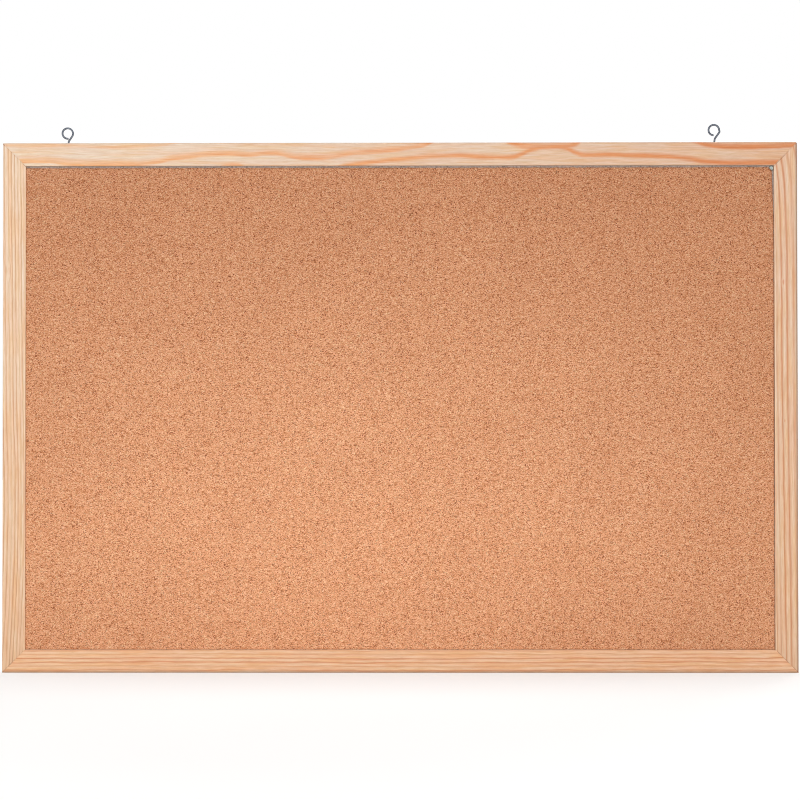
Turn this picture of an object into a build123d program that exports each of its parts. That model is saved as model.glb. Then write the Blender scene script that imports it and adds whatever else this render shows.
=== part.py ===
from build123d import *
import os
from math import acos, atan2, cos, degrees, radians, sin, sqrt

# Cork bulletin board: a cork-faced panel in a mitred pine frame, hung by two screw eyes in its top rail.
# Millimetres. The front faces -Y, +X is to the viewer's right and +Z is up. The origin is midway along the
# board's bottom edge, at half the frame's depth.

# ---- Driving dimensions ----

BOARD_WIDTH = 600.0
BOARD_HEIGHT = 400.0

# Frame moulding: an L section, with a lip in front of the panel and a rabbet behind it.
FACE_WIDTH = 17.4
FRAME_DEPTH = 15.0
LIP_THICKNESS = 3.0
RABBET_WIDTH = 6.0
OUTER_ARRIS_RADIUS = 1.2
INNER_ARRIS_RADIUS = 0.9
BACK_ARRIS_RADIUS = 0.6
MITRE_GROOVE = 0.15  # side of the square groove that the joint's broken edges leave along each mitre
CORNER_BREAK = 0.5  # side of the square that blunts the frame's sharp outer corners
WORN_CORNER_RADIUS = 2.0  # the upper right corner is worn round

# Panel: cork glued to a grey core board, with a hardboard back.
PANEL_CLEARANCE = 0.5  # from the core and the back board to the rabbet walls
CORE_THICKNESS = 6.0
BACK_THICKNESS = 2.5
CORK_THICKNESS = 2.0
CORK_SEAT_GAP = 0.05  # where the cork is pushed against the frame, at the left and the bottom
CORK_TOP_GAP = 1.5
CORK_RIGHT_GAP = 0.4
CORK_RIGHT_GAP_TOP = 1.7  # the knife ran inwards near the top of the right edge
CORK_RUN_IN_LENGTH = 34.0
CORK_CORNER_CLIP = 2.4  # the upper right corner is cut off

# V-nails: bent strip pressed into the back across each mitre, open towards the board's middle.
V_NAIL_INSETS = {"outer": 3.0, "inner": 7.2}  # from the outer edges to the bend
V_NAIL_LEG = 5.0
V_NAIL_HOOK = 0.8
V_NAIL_BEND_RADIUS = 0.7
V_NAIL_HOOK_RADIUS = 0.4
V_NAIL_THICKNESS = 0.6
V_NAIL_HEIGHT = 10.0
V_NAIL_SET = 0.2  # driven this far below the back face

# Framer's points: thin steel darts driven into the rabbet wall, lying on the back board.
POINT_THICKNESS = 0.5
POINT_WIDTH = 5.5
POINT_IN_WOOD = 8.0
POINT_OVER_BOARD = 7.0
POINT_TIP_LENGTH = 3.0
POINT_HEAD_RADIUS = 1.2
POINTS_ON_RAIL = 4
POINTS_ON_STILE = 3

# Screw eyes: one length of wire, threaded at the bottom and bent into an open loop at the top.
WIRE_RADIUS = 0.725
THREAD_CREST_RADIUS = 0.8
THREAD_ROOT_RADIUS = 0.56
THREAD_PITCH = 0.9
THREAD_RIDGE_WIDTH = 0.5
THREAD_LENGTH = 6.5
THREAD_TIP_LENGTH = 2.0
THREAD_RUNOUT = 0.5
EYE_HOLE_CLEARANCE = 0.05
EYE_HOLE_DEPTH = 10.2
WIRE_END_CHAMFER = 0.15
EYE_LENGTH = 22.0
EYE_RING_RADIUS = 3.95

# Each eye's loop was bent a little differently. Its bends, ring centre and ring end are in the plane of the
# loop: X from the shank's axis, Y above the rail, and degrees anticlockwise from X.
LEFT_EYE_FROM_EDGE = 48.6
LEFT_EYE_TWIST = 6
LEFT_EYE_BENDS = [(0, 2.1)]
LEFT_EYE_BEND_RADII = [2.0]
LEFT_EYE_RING_CENTRE = (-0.7, 8.2)
LEFT_EYE_RING_END = 279
RIGHT_EYE_FROM_EDGE = 61.5
RIGHT_EYE_TWIST = -4
RIGHT_EYE_BENDS = [(0, 0.6), (0.4, 3.4), (4.1, 8.6)]
RIGHT_EYE_BEND_RADII = [3.0, 1.5, 1.3]
RIGHT_EYE_RING_CENTRE = (-0.3, 10.0)
RIGHT_EYE_RING_END = 268

# ---- Derived levels ----

HALF_WIDTH = BOARD_WIDTH / 2
FRONT_Y = -FRAME_DEPTH / 2
BACK_Y = FRAME_DEPTH / 2
LIP_BACK_Y = FRONT_Y + LIP_THICKNESS
RABBET_WALL = FACE_WIDTH - RABBET_WIDTH
BACK_BOARD_REAR_Y = LIP_BACK_Y + CORE_THICKNESS + BACK_THICKNESS

# Each frame corner, as the sides it lies on: -1 or +1 along X, then along Z.
CORNERS = {
    "top_left": (-1, 1),
    "top_right": (1, 1),
    "bottom_left": (-1, -1),
    "bottom_right": (1, -1),
}

os.makedirs("parts", exist_ok=True)


def save_piece(piece, node):
    """Label a finished piece and write it under its node name."""
    piece.part.label = node
    export_step(piece.part, f"parts/{node}.step")


# ---- Frame ----


def frame_moulding(start, length):
    """One frame member: the section on plane start, extruded along its normal, with both ends mitred.

    The plane's origin is on the outer edge at half depth, its X points inwards and its Y points to the back.
    """
    with BuildSketch(start) as section:
        with BuildLine():
            Polyline(
                (0, FRONT_Y),
                (FACE_WIDTH, FRONT_Y),
                (FACE_WIDTH, LIP_BACK_Y),
                (RABBET_WALL, LIP_BACK_Y),
                (RABBET_WALL, BACK_Y),
                (0, BACK_Y),
                close=True,
            )
        make_face()
        fillet(section.vertices().group_by(Axis.X)[0].sort_by(Axis.Y)[0], OUTER_ARRIS_RADIUS)
        fillet(section.vertices().group_by(Axis.X)[0].sort_by(Axis.Y)[-1], BACK_ARRIS_RADIUS)
        fillet(section.vertices().group_by(Axis.X)[-1].sort_by(Axis.Y)[0], INNER_ARRIS_RADIUS)
    extrude(section.sketch, amount=length)
    front = Vector(0, FRONT_Y, 0)
    far_end = start.origin + start.z_dir * length
    for corner, along in ((start.origin, start.z_dir), (far_end, -start.z_dir)):
        across_mitre = along - start.x_dir
        split(bisect_by=Plane(origin=corner, z_dir=across_mitre), keep=Keep.TOP)
        # The groove is a square bar lying on edge along the mitre line, half sunk in the front face.
        with BuildSketch(Plane(origin=corner + front, x_dir=across_mitre, z_dir=along + start.x_dir)) as groove:
            Rectangle(MITRE_GROOVE, MITRE_GROOVE, rotation=45)
        extrude(groove.sketch, amount=FACE_WIDTH * sqrt(2), mode=Mode.SUBTRACT)
        with BuildSketch(Plane(origin=corner + front, x_dir=across_mitre, z_dir=(0, 1, 0))) as corner_break:
            Rectangle(CORNER_BREAK, CORNER_BREAK)
        extrude(corner_break.sketch, amount=FRAME_DEPTH, mode=Mode.SUBTRACT)


def wear_corner():
    """Round off the frame's upper right corner, through the whole depth."""
    corner_plane = Plane(origin=(HALF_WIDTH, FRONT_Y, BOARD_HEIGHT), x_dir=(1, 0, 0), z_dir=(0, 1, 0))
    with BuildSketch(corner_plane) as worn:
        with Locations((-WORN_CORNER_RADIUS / 2, WORN_CORNER_RADIUS / 2)):
            Rectangle(WORN_CORNER_RADIUS, WORN_CORNER_RADIUS)
        with Locations((-WORN_CORNER_RADIUS, WORN_CORNER_RADIUS)):
            Circle(WORN_CORNER_RADIUS, mode=Mode.SUBTRACT)
    extrude(worn.sketch, amount=FRAME_DEPTH, mode=Mode.SUBTRACT)


def v_nail(corner, inset, mode=Mode.ADD):
    """A V-nail across the mitre at corner, its bend at inset from both outer edges."""
    side_x, side_z = CORNERS[corner]
    corner_x = side_x * HALF_WIDTH
    corner_z = BOARD_HEIGHT / 2 * (1 + side_z)
    leg_end = inset + V_NAIL_LEG
    hook_start = leg_end - V_NAIL_HOOK
    hook_tip = inset + V_NAIL_HOOK
    outline = [
        (leg_end, hook_tip),
        (hook_start, inset),
        (inset, inset),
        (inset, hook_start),
        (hook_tip, leg_end),
    ]
    radii = [V_NAIL_HOOK_RADIUS, V_NAIL_BEND_RADIUS, V_NAIL_HOOK_RADIUS]
    with BuildSketch(Plane.XZ.offset(V_NAIL_SET - BACK_Y)) as strip:
        with BuildLine():
            points = [(corner_x - side_x * u, corner_z - side_z * w) for u, w in outline]
            FilletPolyline(*points, radius=radii)
        trace(line_width=V_NAIL_THICKNESS)
    extrude(strip.sketch, amount=V_NAIL_HEIGHT, mode=mode)


def panel_point(edge_point, inwards, mode=Mode.ADD):
    """A framer's point opposite edge_point on the board's outer edge, lying on the back board."""
    tip = RABBET_WALL - POINT_IN_WOOD
    head = RABBET_WALL + POINT_OVER_BOARD
    half = POINT_WIDTH / 2
    with BuildSketch(Plane(origin=edge_point, x_dir=inwards, z_dir=(0, 1, 0))) as dart:
        with BuildLine():
            Polyline(
                (tip, 0),
                (tip + POINT_TIP_LENGTH, -half),
                (head, -half),
                (head, half),
                (tip + POINT_TIP_LENGTH, half),
                close=True,
            )
        make_face()
        fillet(dart.vertices().group_by(Axis.X)[-1], POINT_HEAD_RADIUS)
    extrude(dart.sketch, amount=POINT_THICKNESS, mode=mode)


def points_along(side):
    """The outer-edge position of each framer's point on one side of the frame, with its inward direction."""
    if side in ("top", "bottom"):
        pitch = BOARD_WIDTH / POINTS_ON_RAIL
        z = BOARD_HEIGHT if side == "top" else 0
        inwards = (0, 0, -1) if side == "top" else (0, 0, 1)
        xs = [pitch * (i + 0.5) - HALF_WIDTH for i in range(POINTS_ON_RAIL)]
        return [((x, BACK_BOARD_REAR_Y, z), inwards) for x in xs]
    pitch = BOARD_HEIGHT / POINTS_ON_STILE
    x = -HALF_WIDTH if side == "left" else HALF_WIDTH
    inwards = (1, 0, 0) if side == "left" else (-1, 0, 0)
    zs = [pitch * (i + 0.5) for i in range(POINTS_ON_STILE)]
    return [((x, BACK_BOARD_REAR_Y, z), inwards) for z in zs]


def fastener_slots(side):
    """Cut the slots for the V-nails at both ends of one member, and for its framer's points."""
    for corner in CORNERS:
        if side in corner:
            for inset in V_NAIL_INSETS.values():
                v_nail(corner, inset, mode=Mode.SUBTRACT)
    for edge_point, inwards in points_along(side):
        panel_point(edge_point, inwards, mode=Mode.SUBTRACT)


left_eye_x = LEFT_EYE_FROM_EDGE - HALF_WIDTH
right_eye_x = HALF_WIDTH - RIGHT_EYE_FROM_EDGE

with BuildPart() as top_rail:
    frame_moulding(Plane(origin=(-HALF_WIDTH, 0, BOARD_HEIGHT), x_dir=(0, 0, -1), z_dir=(1, 0, 0)), BOARD_WIDTH)
    fastener_slots("top")
    with Locations((left_eye_x, 0, BOARD_HEIGHT), (right_eye_x, 0, BOARD_HEIGHT)):
        Hole(radius=THREAD_CREST_RADIUS + EYE_HOLE_CLEARANCE, depth=EYE_HOLE_DEPTH)
    wear_corner()
save_piece(top_rail, "top_rail")

with BuildPart() as bottom_rail:
    frame_moulding(Plane(origin=(HALF_WIDTH, 0, 0), x_dir=(0, 0, 1), z_dir=(-1, 0, 0)), BOARD_WIDTH)
    fastener_slots("bottom")
save_piece(bottom_rail, "bottom_rail")

with BuildPart() as left_stile:
    frame_moulding(Plane(origin=(-HALF_WIDTH, 0, 0), x_dir=(1, 0, 0), z_dir=(0, 0, 1)), BOARD_HEIGHT)
    fastener_slots("left")
save_piece(left_stile, "left_stile")

with BuildPart() as right_stile:
    frame_moulding(Plane(origin=(HALF_WIDTH, 0, BOARD_HEIGHT), x_dir=(-1, 0, 0), z_dir=(0, 0, -1)), BOARD_HEIGHT)
    fastener_slots("right")
    wear_corner()
save_piece(right_stile, "right_stile")


# ---- Fasteners ----

for corner in CORNERS:
    for place, inset in V_NAIL_INSETS.items():
        with BuildPart() as nail:
            v_nail(corner, inset)
        save_piece(nail, f"v_nail_{corner}_{place}")

for side in ("top", "bottom", "left", "right"):
    for number, (edge_point, inwards) in enumerate(points_along(side), start=1):
        with BuildPart() as point:
            panel_point(edge_point, inwards)
        save_piece(point, f"panel_point_{side}_{number}")


# ---- Panel ----

# The cork fills the frame's opening from the lower left corner, and stops short at the top and the right.
opening_right = HALF_WIDTH - FACE_WIDTH
cork_left = CORK_SEAT_GAP - opening_right
cork_bottom = FACE_WIDTH + CORK_SEAT_GAP
cork_top = BOARD_HEIGHT - FACE_WIDTH - CORK_TOP_GAP
cork_right = opening_right - CORK_RIGHT_GAP
cork_top_right = opening_right - CORK_RIGHT_GAP_TOP

with BuildPart() as cork_sheet:
    with BuildSketch(Plane.XZ.offset(-LIP_BACK_Y)):
        with BuildLine():
            Polyline(
                (cork_left, cork_bottom),
                (cork_right, cork_bottom),
                (cork_right, cork_top - CORK_RUN_IN_LENGTH),
                (cork_top_right, cork_top - CORK_CORNER_CLIP),
                (cork_top_right - CORK_CORNER_CLIP, cork_top),
                (cork_left, cork_top),
                close=True,
            )
        make_face()
    extrude(amount=CORK_THICKNESS)
save_piece(cork_sheet, "cork_sheet")

panel_width = BOARD_WIDTH - 2 * (RABBET_WALL + PANEL_CLEARANCE)
panel_height = BOARD_HEIGHT - 2 * (RABBET_WALL + PANEL_CLEARANCE)

with BuildPart() as core_board:
    with BuildSketch(Plane.XZ.offset(-LIP_BACK_Y - CORE_THICKNESS)):
        with Locations((0, BOARD_HEIGHT / 2)):
            Rectangle(panel_width, panel_height)
    extrude(amount=CORE_THICKNESS)
save_piece(core_board, "core_board")

with BuildPart() as back_board:
    with BuildSketch(Plane.XZ.offset(-BACK_BOARD_REAR_Y)):
        with Locations((0, BOARD_HEIGHT / 2)):
            Rectangle(panel_width, panel_height)
    extrude(amount=BACK_THICKNESS)
save_piece(back_board, "back_board")


# ---- Screw eyes ----


def threaded_shank(axis, tip_y):
    """The threaded lower end of a screw eye, its gimlet point at tip_y, on plane axis (X out, Y up)."""
    top_y = tip_y + THREAD_LENGTH
    helix_height = THREAD_LENGTH - THREAD_RUNOUT
    with BuildLine(axis) as ridge_line:
        Helix(THREAD_PITCH, helix_height, THREAD_ROOT_RADIUS, center=(0, tip_y, 0), direction=(0, 1, 0))
    ridge_path = ridge_line.edge()
    outwards = ridge_path @ 0 - axis.origin - axis.y_dir * tip_y
    with BuildSketch(Plane(origin=ridge_path @ 0, x_dir=outwards, z_dir=ridge_path % 0)) as ridge:
        with BuildLine():
            ridge_height = THREAD_CREST_RADIUS - THREAD_ROOT_RADIUS
            Polyline(
                (-ridge_height / 2, -THREAD_RIDGE_WIDTH / 2),
                (ridge_height, 0),
                (-ridge_height / 2, THREAD_RIDGE_WIDTH / 2),
                close=True,
            )
        make_face()
    sweep(ridge.sketch, path=ridge_path, is_frenet=True)
    for radius, mode in ((THREAD_ROOT_RADIUS, Mode.ADD), (THREAD_CREST_RADIUS, Mode.INTERSECT)):
        cone_top = tip_y + THREAD_TIP_LENGTH * radius / THREAD_CREST_RADIUS
        with BuildSketch(axis) as envelope:
            with BuildLine():
                Polyline(
                    (0, tip_y),
                    (radius, cone_top),
                    (radius, top_y - THREAD_RUNOUT),
                    (THREAD_ROOT_RADIUS, top_y),
                    (0, top_y),
                    close=True,
                )
            make_face()
        revolve(envelope.sketch, axis=Axis(axis.origin, axis.y_dir), mode=mode)


def tangent_angle(point, centre, radius):
    """The angle on a circle where a straight line from point runs on into an anticlockwise arc."""
    offset = Vector(*point) - Vector(*centre)
    return degrees(atan2(offset.Y, offset.X) + acos(radius / offset.length))


def wire_loop(axis, start_y, bends, bend_radii, ring_centre, ring_end):
    """The plain wire of a screw eye: up from start_y through its bends, then round the open ring to ring_end."""
    ring_start = tangent_angle(bends[-1], ring_centre, EYE_RING_RADIUS)
    with BuildLine(axis) as wire:
        ring = CenterArc(ring_centre, EYE_RING_RADIUS, ring_start, ring_end - ring_start)
        ring_from = axis.to_local_coords(ring @ 0)
        FilletPolyline((0, start_y), *bends, (ring_from.X, ring_from.Y), radius=bend_radii)
    path = wire.wire()
    with BuildSketch(Plane(origin=path @ 0, z_dir=path % 0)) as wire_end:
        Circle(WIRE_RADIUS)
    sweep(wire_end.sketch, path=path)
    chamfer(faces().sort_by_distance(path @ 1)[0].edges(), WIRE_END_CHAMFER)


def screw_eye(x, twist, bends, bend_radii, ring_centre, ring_end):
    """A screw eye at x along the top rail, its loop turned by twist degrees about the shank."""
    across = Vector(cos(radians(twist)), sin(radians(twist)), 0)
    axis = Plane(origin=(x, 0, BOARD_HEIGHT), x_dir=across, z_dir=across.cross(Vector(0, 0, 1)))
    tip_y = ring_centre[1] + EYE_RING_RADIUS + WIRE_RADIUS - EYE_LENGTH
    threaded_shank(axis, tip_y)
    wire_loop(axis, tip_y + THREAD_LENGTH, bends, bend_radii, ring_centre, ring_end)


with BuildPart() as left_screw_eye:
    screw_eye(
        left_eye_x, LEFT_EYE_TWIST, LEFT_EYE_BENDS, LEFT_EYE_BEND_RADII, LEFT_EYE_RING_CENTRE, LEFT_EYE_RING_END
    )
save_piece(left_screw_eye, "left_screw_eye")

with BuildPart() as right_screw_eye:
    screw_eye(
        right_eye_x, RIGHT_EYE_TWIST, RIGHT_EYE_BENDS, RIGHT_EYE_BEND_RADII, RIGHT_EYE_RING_CENTRE, RIGHT_EYE_RING_END
    )
save_piece(right_screw_eye, "right_screw_eye")
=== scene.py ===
import math

import bpy
import numpy as np
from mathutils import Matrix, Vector


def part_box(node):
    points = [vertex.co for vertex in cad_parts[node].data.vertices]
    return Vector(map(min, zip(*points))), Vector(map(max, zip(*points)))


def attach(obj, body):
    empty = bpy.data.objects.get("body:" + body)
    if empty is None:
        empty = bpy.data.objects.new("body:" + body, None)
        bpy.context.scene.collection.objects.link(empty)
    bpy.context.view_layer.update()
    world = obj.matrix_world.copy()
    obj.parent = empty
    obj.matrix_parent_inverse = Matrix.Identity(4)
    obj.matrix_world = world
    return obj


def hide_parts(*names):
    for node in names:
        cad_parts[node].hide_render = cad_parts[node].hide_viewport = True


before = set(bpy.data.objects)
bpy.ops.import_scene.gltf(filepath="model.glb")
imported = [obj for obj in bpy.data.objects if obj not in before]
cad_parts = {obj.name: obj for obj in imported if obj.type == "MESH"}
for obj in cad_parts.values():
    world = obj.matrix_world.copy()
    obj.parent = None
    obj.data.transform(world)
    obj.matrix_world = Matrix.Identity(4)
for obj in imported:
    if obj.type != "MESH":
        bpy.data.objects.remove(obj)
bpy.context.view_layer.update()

# Cork bulletin board: a mitred pine frame round a granulated cork sheet, hung from two screw eyes.
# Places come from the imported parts: front towards -Y, +X right, +Z up. Blender works in metres and
# the materials in millimetres, so MM turns one into the other.
MM = 0.001

frame_low, left_stile_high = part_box("left_stile")
_, frame_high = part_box("right_stile")
board_width = (frame_high.x - frame_low.x) / MM
board_height = (frame_high.z - frame_low.z) / MM
board_centre = (frame_low + frame_high) / 2
front_y = frame_low.y / MM
face_width = (left_stile_high.x - frame_low.x) / MM


# ---- Writing materials as formulas ----


def linear(channel):
    return channel / 12.92 if channel <= 0.04045 else ((channel + 0.055) / 1.055) ** 2.4


def plug(tree, source, socket):
    """Feed a node's input from a Value, another node's output, a colour seen as 0 to 255, or a number."""
    if isinstance(source, Value):
        source = source.socket
    if isinstance(source, bpy.types.NodeSocket):
        tree.links.new(source, socket)
    elif isinstance(source, tuple) and socket.type == "RGBA":
        socket.default_value = (*(linear(channel / 255) for channel in source), 1.0)
    else:
        socket.default_value = source


class Value:
    """A number worked out at each point of a surface. Arithmetic on it adds the math nodes."""

    def __init__(self, tree, socket):
        self.tree = tree
        self.socket = socket

    def calc(self, operation, *others):
        node = self.tree.nodes.new("ShaderNodeMath")
        node.operation = operation
        for socket, source in zip(node.inputs, (self, *others)):
            plug(self.tree, source, socket)
        return Value(self.tree, node.outputs[0])

    def __add__(self, other):
        return self.calc("ADD", other)

    def __sub__(self, other):
        return self.calc("SUBTRACT", other)

    def __mul__(self, other):
        return self.calc("MULTIPLY", other)

    def __truediv__(self, other):
        return self.calc("DIVIDE", other)

    def __abs__(self):
        return self.calc("ABSOLUTE")

    def __neg__(self):
        return self * -1

    __radd__ = __add__
    __rmul__ = __mul__

    def __rsub__(self, other):
        return -self + other

    def fade(self, low, high, at_low=0.0, at_high=1.0):
        """Goes smoothly from at_low to at_high as this value goes from low to high."""
        node = self.tree.nodes.new("ShaderNodeMapRange")
        node.interpolation_type = "SMOOTHSTEP"
        for name, source in (
            ("Value", self),
            ("From Min", low),
            ("From Max", high),
            ("To Min", at_low),
            ("To Max", at_high),
        ):
            plug(self.tree, source, node.inputs[name])
        return Value(self.tree, node.outputs["Result"])

    def curve(self, points, low, high):
        """A smooth curve through (value, height) points, values from 0 to 1, heights from low to high."""
        node = self.tree.nodes.new("ShaderNodeFloatCurve")
        curve = node.mapping.curves[0]
        while len(curve.points) < len(points):
            curve.points.new(0.5, 0.5)
        for point, (position, height) in zip(curve.points, points):
            point.location = (position, (height - low) / (high - low))
        node.mapping.update()
        plug(self.tree, self, node.inputs["Value"])
        return Value(self.tree, node.outputs[0]) * (high - low) + low

    def ramp(self, *stops):
        """A colour, or a grey from 0 to 1, that runs through (value, colour) stops."""
        node = self.tree.nodes.new("ShaderNodeValToRGB")
        elements = node.color_ramp.elements
        while len(elements) < len(stops):
            elements.new(1.0)
        for element, (position, shade) in zip(elements, stops):
            element.position = position
            element.color = (*(linear(channel / 255) for channel in shade), 1.0)
        plug(self.tree, self, node.inputs[0])
        return node.outputs[0]


class Shader:
    """A material under construction, with the point being shaded as x, y and z in millimetres."""

    def __init__(self, name):
        self.material = bpy.data.materials.new(name)
        self.material.use_nodes = True
        self.tree = self.material.node_tree
        coordinates = self.tree.nodes.new("ShaderNodeTexCoord")
        split = self.tree.nodes.new("ShaderNodeSeparateXYZ")
        self.tree.links.new(coordinates.outputs["Object"], split.inputs[0])
        self.x, self.y, self.z = (Value(self.tree, output) * (1 / MM) for output in split.outputs)

    def node(self, kind, output, settings=None, **inputs):
        node = self.tree.nodes.new(kind)
        for name, setting in (settings or {}).items():
            setattr(node, name, setting)
        for name, source in inputs.items():
            plug(self.tree, source, node.inputs[name.replace("_", " ")])
        return node.outputs[output]

    def point(self, x, y, z):
        return self.node("ShaderNodeCombineXYZ", 0, X=x, Y=y, Z=z)

    def noise(self, point, detail=2.0, roughness=0.5):
        """Cloudy noise about 0, mostly between -0.5 and 0.5, one unit of point to a feature."""
        socket = self.node(
            "ShaderNodeTexNoise", "Fac", Vector=point, Scale=1.0, Detail=detail, Roughness=roughness
        )
        return Value(self.tree, socket) * 2 - 1

    def cells(self, point):
        """One random value from 0 to 1 for each cell of about one unit."""
        colour = self.node("ShaderNodeTexVoronoi", "Color", Vector=point, Scale=1.0)
        return Value(self.tree, self.node("ShaderNodeSeparateColor", "Red", Color=colour))

    def cell_walls(self, point):
        """The distance to the nearest wall between cells of about one unit."""
        settings = {"feature": "DISTANCE_TO_EDGE"}
        distance = self.node("ShaderNodeTexVoronoi", "Distance", settings, Vector=point, Scale=1.0)
        return Value(self.tree, distance)

    def scatter(self, number):
        """A random value from 0 to 1 for each whole number."""
        settings = {"noise_dimensions": "1D"}
        return Value(self.tree, self.node("ShaderNodeTexWhiteNoise", "Value", settings, W=number))

    def mix(self, share, a, b, blend="MIX"):
        node = self.tree.nodes.new("ShaderNodeMix")
        node.data_type = "RGBA"
        node.blend_type = blend
        for index, source in ((0, share), (6, a), (7, b)):
            plug(self.tree, source, node.inputs[index])
        return node.outputs[2]

    def finish(self, colour, roughness, height=None, relief=0.0, metallic=0.0, specular=0.4):
        """Close the material. A height from 0 to 1 raises the surface by up to relief millimetres."""
        surface = self.tree.nodes["Principled BSDF"]
        for name, source in (
            ("Base Color", colour),
            ("Roughness", roughness),
            ("Metallic", metallic),
            ("Specular IOR Level", specular),
        ):
            plug(self.tree, source, surface.inputs[name])
        if height is not None:
            normal = self.node("ShaderNodeBump", "Normal", Height=height, Distance=relief * MM, Strength=1.0)
            self.tree.links.new(normal, surface.inputs["Normal"])
        return self.material


# ---- Pine ----


class Member:
    """Where a point is in a frame member: along it, inward from its outer edge, back from its front."""

    def __init__(self, shader, side):
        level = side in ("top", "bottom")
        from_left = shader.x - frame_low.x / MM
        from_bottom = shader.z - frame_low.z / MM
        self.length = board_width if level else board_height
        self.along = from_left if level else from_bottom
        self.share = self.along / self.length
        self.depth = shader.y - front_y
        self.inward = {
            "top": board_height - from_bottom,
            "bottom": from_bottom,
            "left": from_left,
            "right": board_width - from_left,
        }[side]


def stretched(shader, member, along, across, seed):
    """A point of the wood for noise whose features are this many millimetres along and across the grain."""
    return shader.point(member.along / along, member.inward / across + seed, member.depth / across)


def growth_rings(path, spacing, widen, slope, profile):
    """Fine, even rings, counted outwards from a path of (share of the length, mm inward).

    spacing is a curve like path, in millimetres. Each millimetre outwards widens the rings by the share
    widen, and slope tips them back. profile is the latewood through one ring, as greys seen from 0 to 1.
    """

    def figure(shader, member, sway):
        outwards = member.share.curve(path, 0, 30) + sway - member.inward - member.depth * slope
        across = outwards / (member.share.curve(spacing, 0, 20) * (1 + widen * outwards))
        ring = across.calc("FLOOR")
        amount = (across - ring).ramp(*((at, (255 * level,) * 3) for at, level in profile))
        return Value(shader.tree, amount) * shader.scatter(ring).fade(0, 1, 0.6, 1.15)

    return figure


def broad_bands(*bands):
    """A few wide bands of latewood.

    Each is a curve of (share of the length, mm inward), its outer and inner fade, and a strength.
    """

    def figure(shader, member, sway):
        streaks = shader.noise(stretched(shader, member, 24, 1.1, 60), 3.0, 0.6)
        total = None
        for path, outer_fade, inner_fade, strength in bands:
            offset = member.inward - member.share.curve(path, -10, 25) + sway - member.depth * 0.15
            band = offset.fade(-outer_fade, 0) * offset.fade(0, inner_fade, 1, 0) * strength
            total = band if total is None else total.calc("MAXIMUM", band)
        return total * streaks.fade(-0.35, 0.35, 0.85, 1.25)

    return figure


INNER_ARRIS = 1.0

# Tints that the pine's clouds, blushes and streaks multiply its colour by.
TAN = (255, 244, 226)
ROSE = (253, 242, 237)
STREAK = (236, 224, 210)

# Colours mixed over the pine.
TICK_BROWN = (190, 130, 88)
HEART_BROWN = (196, 118, 82)
# Painted highlight colour for the inner arris.
ARRIS_HIGHLIGHT = (255, 226, 194)
# Painted shade colour for the outer front arris.
ARRIS_SHADE_COLOUR = (142, 112, 92)
DUST = (142, 86, 54)


def knot_figure(member, knots):
    """How far each knot pushes the rings aside, and how dark its heart is."""
    pushes = []
    heart = None
    for at, inward, radius, darkness in knots:
        along = (member.along - at) / (3 * radius)
        across = (member.inward - inward) / radius
        reach = along * along + across * across
        pushes.append(reach.fade(0, 5, 1, 0) * radius * 0.8)
        spot = reach.fade(0.1, 0.9, darkness, 0)
        heart = spot if heart is None else heart.calc("MAXIMUM", spot)
    return pushes, heart


def edge_light_shade_and_dust(shader, member, colour, arris_shade):
    """The inner arris gets a painted highlight, the outer front arris gets painted shade, and the mitres hold
    a little dust.
    """
    # Painted highlight along the inner arris.
    painted_highlight = member.inward.fade(face_width - INNER_ARRIS, face_width - 0.3 * INNER_ARRIS, 0, 0.45)
    colour = shader.mix(painted_highlight, colour, ARRIS_HIGHLIGHT)
    # Painted shade darkens the outer front arris, as much as the member's shade setting asks.
    painted_arris_shade = member.inward.fade(0.6, 2.2, arris_shade, 0) * member.depth.fade(1.0, 3.0, 1, 0)
    colour = shader.mix(painted_arris_shade, colour, ARRIS_SHADE_COLOUR)
    to_start = abs(member.along - member.inward)
    to_end = abs(member.length - member.along - member.inward)
    to_mitre = to_start.calc("MINIMUM", to_end)
    patches = shader.noise(shader.point(shader.x / 5, shader.y / 5, shader.z / 5), 2.0)
    dust = patches.fade(-0.1, 0.35, 0.08, 0.5).calc("MAXIMUM", member.inward.fade(0.5, 2.5, 0.8, 0))
    return shader.mix(to_mitre.fade(0.15, 0.7, 1, 0) * dust, colour, DUST)


def pine(name, side, seed, early, late, figure, wobble, knots=(), arris_shade=0.0):
    """Pine for one frame member.

    early and late are its two wood colours, each at the member's start and at its end; the change between
    them is partly the wood's own tone and partly painted shading that falls off from the upper left. figure
    lays out the latewood, wobble is how far the grain wanders in millimetres, each knot is (mm along, mm
    inward, radius, darkness), and the last argument is how much painted shade darkens the outer front arris.
    """
    shader = Shader(name)
    member = Member(shader, side)
    sway = shader.noise(stretched(shader, member, 32, 6, seed), 4.0, 0.55) * wobble
    pushes, heart = knot_figure(member, knots)
    for push in pushes:
        sway = sway + push
    latewood = figure(shader, member, sway)

    clouds = shader.noise(stretched(shader, member, 40, 4, seed + 11), 3.0, 0.6)
    blush = shader.noise(stretched(shader, member, 70, 2.2, seed + 17), 2.0)
    streaks = shader.noise(stretched(shader, member, 16, 0.8, seed + 23), 4.0, 0.7)
    ticks = shader.noise(stretched(shader, member, 4, 0.35, seed + 37), 1.0)
    colour = shader.mix(member.share, *early)
    colour = shader.mix(latewood, colour, shader.mix(member.share, *late))
    colour = shader.mix(clouds.fade(-0.2, 0.35), colour, TAN, "MULTIPLY")
    colour = shader.mix(blush.fade(-0.3, 0.3), colour, ROSE, "MULTIPLY")
    colour = shader.mix(streaks.fade(-0.45, 0.45), colour, STREAK, "MULTIPLY")
    colour = shader.mix(ticks.fade(0.3, 0.6, 0, 0.4), colour, TICK_BROWN)
    if heart is not None:
        colour = shader.mix(heart, colour, HEART_BROWN)
    colour = edge_light_shade_and_dust(shader, member, colour, arris_shade)
    height = streaks * 0.35 + latewood * 0.3 + 0.5
    return shader.finish(colour, latewood.fade(0, 1, 0.6, 0.45), height, relief=0.06, specular=0.3)


FINE_RING = ((0.0, 0.75), (0.12, 1.0), (0.38, 0.45), (0.62, 0.08), (0.85, 0.0), (1.0, 0.75))

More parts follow.
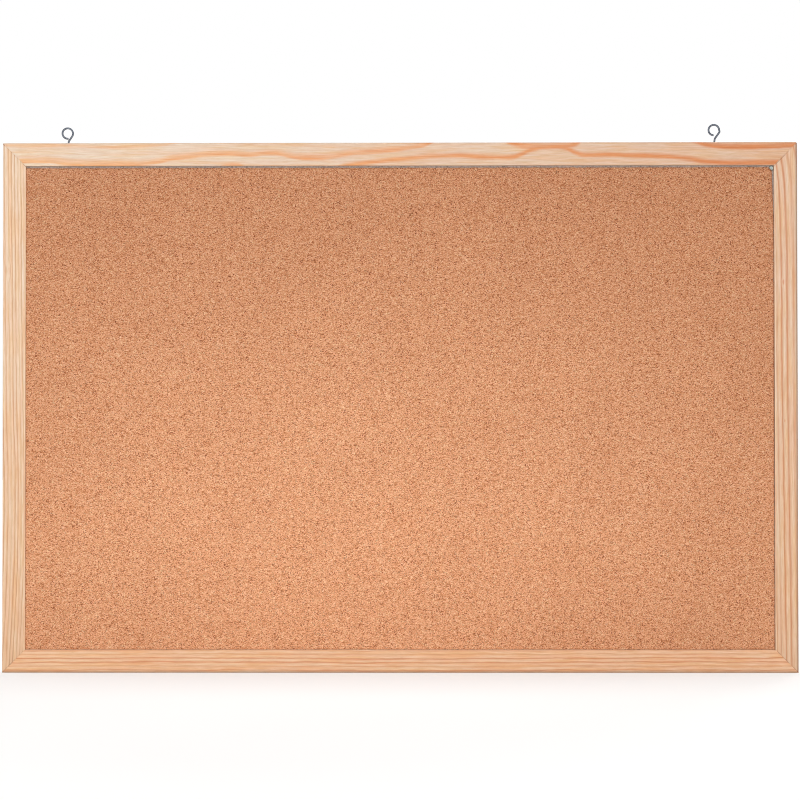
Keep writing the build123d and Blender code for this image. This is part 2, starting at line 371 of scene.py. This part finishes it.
# Each band is its path of (share of the rail, mm inward), then its outer fade, inner fade and strength.
TOP_RAIL_BANDS = (
    # Hugs the inner edge at the left, lifts in two humps and runs off the outer edge near the middle.
    (((0.0, 14.5), (0.05, 14.0), (0.1, 16.0), (0.18, 15.4), (0.22, 11.4), (0.285, 8.4), (0.31, 9.4),
      (0.335, 8.0), (0.382, 11.4), (0.443, 8.1), (0.5, 5.0), (0.53, 2.2), (0.56, -3.0), (1.0, -8.0)),
     5.4, 2.0, 0.8),
    # Comes in from the inner edge before that, climbs over a peak and settles along the inner edge.
    (((0.0, 24.0), (0.4, 21.0), (0.437, 16.5), (0.5, 12.4), (0.562, 9.6), (0.632, 11.2), (0.652, 8.6),
      (0.67, 4.4), (0.688, 3.0), (0.707, 3.8), (0.72, 7.2), (0.738, 9.4), (0.776, 9.6), (0.826, 10.4),
      (0.864, 12.0), (0.89, 14.4), (0.965, 15.0), (1.0, 12.5)), 3.6, 2.8, 1.0),
    # Broad streaky patch that the second band climbs into.
    (((0.0, -9.0), (0.6, -8.0), (0.645, 1.0), (0.67, 3.0), (0.71, 2.6), (0.75, -8.0), (1.0, -9.0)),
     5.0, 3.4, 0.9),
    # Wedge along the outer edge at the right.
    (((0.0, -9.0), (0.82, -8.0), (0.87, -1.5), (0.9, 2.6), (0.94, 3.4), (1.0, 2.0)), 4.0, 2.6, 1.0),
    # Small patch at the inner edge, and a faint streak along the outer edge at the left.
    (((0.0, 25.0), (0.26, 22.0), (0.29, 16.4), (0.32, 22.0), (1.0, 25.0)), 2.5, 3.0, 0.7),
    (((0.0, 1.5), (0.1, 1.8), (0.19, 1.6), (0.24, -3.0), (1.0, -8.0)), 2.0, 2.0, 0.45),
)

# Each member's start and end colours below are partly painted shading, falling off from the upper left.
top_pine = pine(
    "pine_top", "top", 3, ((226, 212, 196), (215, 187, 165)), ((228, 172, 112), (207, 134, 84)),
    broad_bands(*TOP_RAIL_BANDS), 1.3,
)
bottom_pine = pine(
    "pine_bottom", "bottom", 71, ((235, 204, 171), (233, 200, 169)), ((213, 154, 113), (210, 149, 109)),
    growth_rings(
        ((0, 17.0), (0.25, 17.4), (0.5, 16.9), (0.75, 17.3), (1, 17.6)),
        ((0, 3.0), (1, 3.0)), 0.0, 0.5, FINE_RING,
    ),
    1.3, arris_shade=0.45,
)
left_pine = pine(
    "pine_left", "left", 137, ((226, 199, 170), (230, 212, 192)), ((200, 156, 118), (206, 168, 134)),
    growth_rings(
        ((0, 12.7), (0.06, 13.9), (0.12, 15.2), (0.33, 17.1), (0.52, 15.7), (0.9, 14.1), (1, 13.7)),
        ((0, 2.2), (1, 2.2)), 0.01, 0.4, FINE_RING,
    ),
    0.7, knots=((303, 4.9, 1.4, 0.15),),
)
right_pine = pine(
    "pine_right", "right", 211, ((221, 195, 168), (222, 199, 178)), ((202, 146, 108), (204, 150, 116)),
    growth_rings(
        ((0, 16.4), (0.1, 16.8), (0.52, 18.9), (0.9, 21.3), (0.97, 24.4), (1, 28.0)),
        ((0, 2.9), (0.5, 2.9), (1, 3.1)), 0.021, 0.6, FINE_RING,
    ),
    0.7, knots=((294, 10.8, 0.9, 0.6), (189.5, 10.0, 0.6, 0.5)), arris_shade=0.75,
)


# ---- Cork ----

# A granule's size in millimetres, and the colours of the walls between granules, the bark and the flecks.
GRANULE_WIDTH = 0.62
GRANULE_HEIGHT = 0.44
GRANULE_WALL = (156, 92, 56)
BARK_SPECK = (124, 58, 26)
PALE_FLECK = (250, 226, 180)
# The tint that paints shading over the cork sheet.
CORK_PAINTED_SHADE = (214, 206, 202)


def granulated_cork():
    """Pressed granules, a little wider than tall, with dark bark specks and pale flecks among them."""
    shader = Shader("granulated_cork")
    warp = shader.noise(shader.point(shader.x / 1.2, shader.y / 1.2, shader.z / 1.2), 1.0) * 0.5

    def granules(size, seed):
        return shader.point(shader.x / (GRANULE_WIDTH * size) + warp, shader.y / size + seed,
                            shader.z / (GRANULE_HEIGHT * size) + warp)

    tone = shader.cells(granules(1.0, 0)) * 0.8 + shader.cells(granules(1.8, 40)) * 0.2
    walls = shader.cell_walls(granules(1.0, 0))
    colour = tone.ramp(
        (0.0, (150, 80, 42)),
        (0.22, (200, 132, 88)),
        (0.5, (226, 162, 120)),
        (0.8, (237, 180, 142)),
        (1.0, (246, 209, 175)),
    )
    colour = shader.mix(walls.fade(0.0, 0.1, 0.3, 0), colour, GRANULE_WALL)
    colour = shader.mix(shader.cells(granules(1.1, 90)).fade(0.925, 0.935, 0, 0.85), colour, BARK_SPECK)
    colour = shader.mix(shader.cells(granules(1.0, 160)).fade(0.955, 0.965, 0, 0.6), colour, PALE_FLECK)

    # Painted shading: the sheet is painted palest low in the middle, where the light falls most, and darker
    # towards its upper right, with a slow random drift of tone on top.
    aside = (shader.x / board_width + 0.08) * 0.7
    above = (shader.z / board_height - 0.2) * 0.8
    far = (aside * aside + above * above).calc("SQRT")
    drift = shader.noise(shader.point(shader.x / 70, 0.0, shader.z / 70), 2.0)
    shade = far.fade(0.0, 0.75, 0.0, 0.9) + drift * 0.15
    colour = shader.mix(shade, colour, CORK_PAINTED_SHADE, "MULTIPLY")
    height = tone * 0.6 + walls.fade(0.0, 0.2) * 0.4
    return shader.finish(colour, 0.85, height, relief=0.09, specular=0.15)


# The grid of the cork's face, its deepest pit, and how far its free edges have crumbled, in millimetres.
RELIEF_PITCH = 1.5
PIT_DEPTH = 0.3
CRUMBLE = 0.25
JITTER = 0.3  # of the pitch
EDGE_INSET = 1e-6  # metres, so that the first and last rows still cross the outline


def outline_span(corners, level):
    """The leftmost and rightmost x at a height, on the outline through corners given as (x, z)."""
    crossings = []
    for (x1, z1), (x2, z2) in zip(corners, corners[1:] + corners[:1]):
        if min(z1, z2) <= level <= max(z1, z2) and z1 != z2:
            crossings.append(x1 + (x2 - x1) * (level - z1) / (z2 - z1))
    return min(crossings), max(crossings)


def cork_sheet():
    """The cork with its granular face: a fine grid, pitted at random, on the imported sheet's own outline."""
    low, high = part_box("cork_sheet")
    front = {
        (round(v.co.x, 6), round(v.co.z, 6))
        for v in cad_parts["cork_sheet"].data.vertices
        if abs(v.co.y - low.y) < 0.1 * MM
    }
    middle = (low + high) / 2
    corners = sorted(front, key=lambda c: math.atan2(c[1] - middle.z, c[0] - middle.x))
    columns = round((high.x - low.x) / MM / RELIEF_PITCH)
    rows = round((high.z - low.z) / MM / RELIEF_PITCH)
    random = np.random.default_rng(5)

    levels = np.linspace(low.z + EDGE_INSET, high.z - EDGE_INSET, rows + 1)
    spans = np.array([outline_span(corners, level) for level in levels])
    shares = np.linspace(0, 1, columns + 1)
    x = spans[:, :1] + (spans[:, 1:] - spans[:, :1]) * shares
    z = np.repeat(levels[:, None], columns + 1, axis=1)
    jitter = random.uniform(-JITTER, JITTER, (2, rows + 1, columns + 1)) * RELIEF_PITCH * MM
    x[:, 1:-1] += jitter[0][:, 1:-1]
    z[1:-1, :] += jitter[1][1:-1, :]
    # The two edges that stand clear of the frame are a little ragged.
    crumble = random.uniform(0, CRUMBLE, (2, max(rows, columns) + 1)) * MM
    x[:, -1] -= crumble[0, : rows + 1]
    z[-1, :] -= crumble[1, : columns + 1]
    y = low.y + random.uniform(0, 1, x.shape) ** 3 * PIT_DEPTH * MM

    index = np.arange(x.size).reshape(x.shape)
    vertices = [tuple(v) for v in np.stack((x, y, z), -1).reshape(-1, 3)]
    faces = [
        (index[r, c], index[r, c + 1], index[r + 1, c + 1], index[r + 1, c])
        for r in range(rows)
        for c in range(columns)
    ]
    rim = [*index[0, :-1], *index[:-1, -1], *index[-1, :0:-1], *index[:0:-1, 0]]
    first_back = len(vertices)
    vertices += [(vertices[i][0], high.y, vertices[i][2]) for i in rim]
    back = list(range(first_back, len(vertices)))
    faces += [
        (rim[i], back[i], back[(i + 1) % len(rim)], rim[(i + 1) % len(rim)])
        for i in range(len(rim))
    ]
    faces.append(tuple(reversed(back)))
    mesh = bpy.data.meshes.new("cork_face")
    mesh.from_pydata(vertices, [], [tuple(int(i) for i in face) for face in faces])
    sheet = bpy.data.objects.new("cork_face", mesh)
    bpy.context.scene.collection.objects.link(sheet)
    mesh.shade_smooth()
    mesh.materials.append(granulated_cork())
    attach(sheet, "board")
    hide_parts("cork_sheet")


# ---- Boards behind, and metal ----


# A painted light spot on the core where the cork's corner is cut off, ringed by painted shadow: its place
# inward of the frame, and its radii.
LIGHT_SPOT_INWARD = (1.7, 1.5)
LIGHT_SPOT_RADII = (1.4, 1.3)
PAINTED_LIGHT_SPOT = (168, 182, 178)
PAINTED_SHADOW_RIM = (60, 54, 50)
CORE_FLECK = (92, 82, 76)


def core_board():
    """Grey pressed fibre, with a painted light spot and a ring of painted shadow at the cork's cut-off
    corner.
    """
    shader = Shader("grey_core_board")
    fibres = shader.noise(shader.point(shader.x / 1.6, shader.y / 0.5, shader.z / 1.6), 4.0, 0.7)
    flecks = shader.cells(shader.point(shader.x / 1.1, shader.y / 1.1, shader.z / 1.1))
    colour = fibres.fade(-0.5, 0.5).ramp(
        (0.0, (128, 116, 108)),
        (0.5, (158, 145, 136)),
        (1.0, (182, 170, 160)),
    )
    colour = shader.mix(flecks.fade(0.9, 0.93, 0, 0.5), colour, CORE_FLECK)
    from_right = (shader.x - frame_high.x / MM + face_width + LIGHT_SPOT_INWARD[0]) / LIGHT_SPOT_RADII[0]
    from_top = (shader.z - frame_high.z / MM + face_width + LIGHT_SPOT_INWARD[1]) / LIGHT_SPOT_RADII[1]
    reach = from_right * from_right + from_top * from_top
    # Painted shadow round the spot.
    colour = shader.mix(reach.fade(1.2, 4.0, 0.75, 0), colour, PAINTED_SHADOW_RIM)
    # Painted light: the spot itself.
    colour = shader.mix(reach.fade(0.8, 1.3, 1, 0), colour, PAINTED_LIGHT_SPOT)
    return shader.finish(colour, 0.9, fibres + 0.5, relief=0.15, specular=0.1)


SCREEN_PITCH = 1.8
HARDBOARD_STAIN = (112, 74, 48)


def hardboard():
    """Brown hardboard, whose rough face is printed by the wire screen it was pressed on."""
    shader = Shader("hardboard")
    fibres = shader.noise(shader.point(shader.x / 2.5, shader.y, shader.z / 2.5), 5.0, 0.7)
    clouds = shader.noise(shader.point(shader.x / 60, shader.y, shader.z / 60), 2.0)
    colour = fibres.fade(-0.5, 0.5).ramp((0.0, (98, 64, 42)), (0.5, (134, 94, 64)), (1.0, (166, 124, 88)))
    colour = shader.mix(clouds.fade(-0.4, 0.4, 0, 0.25), colour, HARDBOARD_STAIN)
    warp = (shader.x * (2 * math.pi / SCREEN_PITCH)).calc("SINE")
    weft = (shader.z * (2 * math.pi / SCREEN_PITCH)).calc("SINE")
    height = warp * weft * 0.25 + fibres * 0.4 + 0.5
    return shader.finish(colour, 0.75, height, relief=0.2, specular=0.2)


def steel(name, dark, light, roughness):
    """Plain or plated steel with faint drawing marks and stains."""
    shader = Shader(name)
    stains = shader.noise(shader.point(shader.x / 1.5, shader.y / 1.5, shader.z / 1.5), 3.0)
    colour = stains.fade(-0.5, 0.5).ramp((0.0, dark), (1.0, light))
    return shader.finish(colour, stains.fade(-0.5, 0.5, roughness, roughness + 0.15), metallic=1.0)


def dress(node, material):
    """Give a carried-over part its material."""
    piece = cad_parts[node]
    piece.data.materials.clear()
    piece.data.materials.append(material)


WELD_DISTANCE = 0.001


def smooth_wire(node):
    """Shade a screw eye's packed facets as the round wire they stand for."""
    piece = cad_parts[node]
    if "custom_normal" in piece.data.attributes:
        piece.data.attributes.remove(piece.data.attributes["custom_normal"])
    piece.data.shade_smooth()
    weld = piece.modifiers.new("weld", "WELD")
    weld.merge_threshold = WELD_DISTANCE * MM


dress("top_rail", top_pine)
dress("bottom_rail", bottom_pine)
dress("left_stile", left_pine)
dress("right_stile", right_pine)
dress("core_board", core_board())
dress("back_board", hardboard())
cork_sheet()
zinc = steel("zinc_plated_steel", (96, 102, 112), (140, 146, 156), 0.6)
bright_steel = steel("bright_steel", (150, 152, 154), (190, 192, 194), 0.3)
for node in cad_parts:
    if node.endswith("screw_eye"):
        dress(node, zinc)
        smooth_wire(node)
    elif node.startswith(("v_nail", "panel_point")):
        dress(node, bright_steel)


# ---- Stage ----

# The camera, in metres and degrees. It aims just right of the middle, at a share of the board's height.
LENS = 95
CAMERA_DISTANCE = 1.5994
CAMERA_AZIMUTH = 0.443
CAMERA_ELEVATION = -0.785
CAMERA_ROLL = -0.035
AIM_RIGHT = 0.0002
AIM_HEIGHT = 0.5144
CLIP_END = 50

# Each light's place, width, height and power, in metres and watts.
LIGHTS = (
    ("key", (-0.3, -2.6, 0.45), 0.9, 0.9, 50),
    ("back", (0.6, 2.2, 1.4), 2.0, 1.6, 46),
    ("top", (0.0, 0.3, 2.6), 2.0, 1.0, 30),
    ("left_side", (-2.8, 0.6, 0.6), 1.2, 1.2, 26),
    ("right_side", (2.8, 0.6, 0.6), 1.2, 1.2, 26),
)
SURROUND_LIGHT = 0.15

# The floor, in metres, and its glow, which grows from near the board outwards, in millimetres.
FLOOR_SIZE = 12
FLOOR_DROP = 0.0002
FLOOR_GLOW = 1.2
GLOW_NEAR = 0.5
GLOW_FROM = 300
GLOW_TO = 3000


def aim(thing, target):
    thing.rotation_euler = (Vector(target) - thing.location).to_track_quat("-Z", "Y").to_euler()


def area_light(name, place, width, height, power):
    data = bpy.data.lights.new(name, "AREA")
    data.shape = "RECTANGLE"
    data.size = width
    data.size_y = height
    data.energy = power
    light = bpy.data.objects.new(name, data)
    light.location = place
    aim(light, board_centre)
    bpy.context.scene.collection.objects.link(light)


def seen_by_camera(tree):
    return tree.nodes.new("ShaderNodeLightPath").outputs["Is Camera Ray"]


def white_room(light_strength):
    """A white surround that gives only a little light of its own."""
    world = bpy.data.worlds.new("white_room")
    world.use_nodes = True
    tree = world.node_tree
    strength = tree.nodes.new("ShaderNodeMapRange")
    strength.inputs["To Min"].default_value = light_strength
    tree.links.new(seen_by_camera(tree), strength.inputs["Value"])
    tree.links.new(strength.outputs["Result"], tree.nodes["Background"].inputs["Strength"])
    tree.nodes["Background"].inputs["Color"].default_value = (1, 1, 1, 1)
    bpy.context.scene.world = world


def floor():
    """A pale floor that keeps a faint shadow near the board and melts into the white surround."""
    bpy.ops.mesh.primitive_plane_add(size=FLOOR_SIZE, location=(0, 0, frame_low.z - FLOOR_DROP))
    sheet = bpy.context.object
    sheet.name = "floor"
    shader = Shader("floor_paint")
    mottle = shader.noise(shader.point(shader.x / 400, shader.y / 400, 0.0), 2.0)
    paint = shader.mix(mottle.fade(-0.5, 0.5), (248, 247, 245), (252, 252, 251))
    material = shader.finish(paint, 0.9, specular=0.0)
    tree = shader.tree
    glow = tree.nodes.new("ShaderNodeEmission")
    glow.inputs["Strength"].default_value = FLOOR_GLOW
    blend = tree.nodes.new("ShaderNodeMixShader")
    away = (shader.x * shader.x + shader.y * shader.y).calc("SQRT")
    share = Value(tree, seen_by_camera(tree)) * away.fade(GLOW_FROM, GLOW_TO, GLOW_NEAR, 1.0)
    tree.links.new(share.socket, blend.inputs[0])
    tree.links.new(tree.nodes["Principled BSDF"].outputs[0], blend.inputs[1])
    tree.links.new(glow.outputs[0], blend.inputs[2])
    tree.links.new(blend.outputs[0], tree.nodes["Material Output"].inputs["Surface"])
    sheet.data.materials.append(material)


def camera():
    """A long lens almost square to the board."""
    data = bpy.data.cameras.new("camera")
    data.lens = LENS
    data.clip_end = CLIP_END
    thing = bpy.data.objects.new("camera", data)
    azimuth = math.radians(CAMERA_AZIMUTH)
    elevation = math.radians(CAMERA_ELEVATION)
    target = Vector((AIM_RIGHT, 0.0, frame_low.z + AIM_HEIGHT * board_height * MM))
    back = Vector((
        math.sin(azimuth) * math.cos(elevation),
        -math.cos(azimuth) * math.cos(elevation),
        math.sin(elevation),
    ))
    thing.location = target + back * CAMERA_DISTANCE
    aim(thing, target)
    thing.rotation_euler.rotate_axis("Z", math.radians(CAMERA_ROLL))
    bpy.context.scene.collection.objects.link(thing)
    bpy.context.scene.camera = thing


scene = bpy.context.scene
scene.view_settings.view_transform = "Standard"
scene.cycles.denoising_prefilter = "NONE"
scene.cycles.filter_width = 1.0
white_room(SURROUND_LIGHT)
floor()
for light in LIGHTS:
    area_light(*light)
camera()
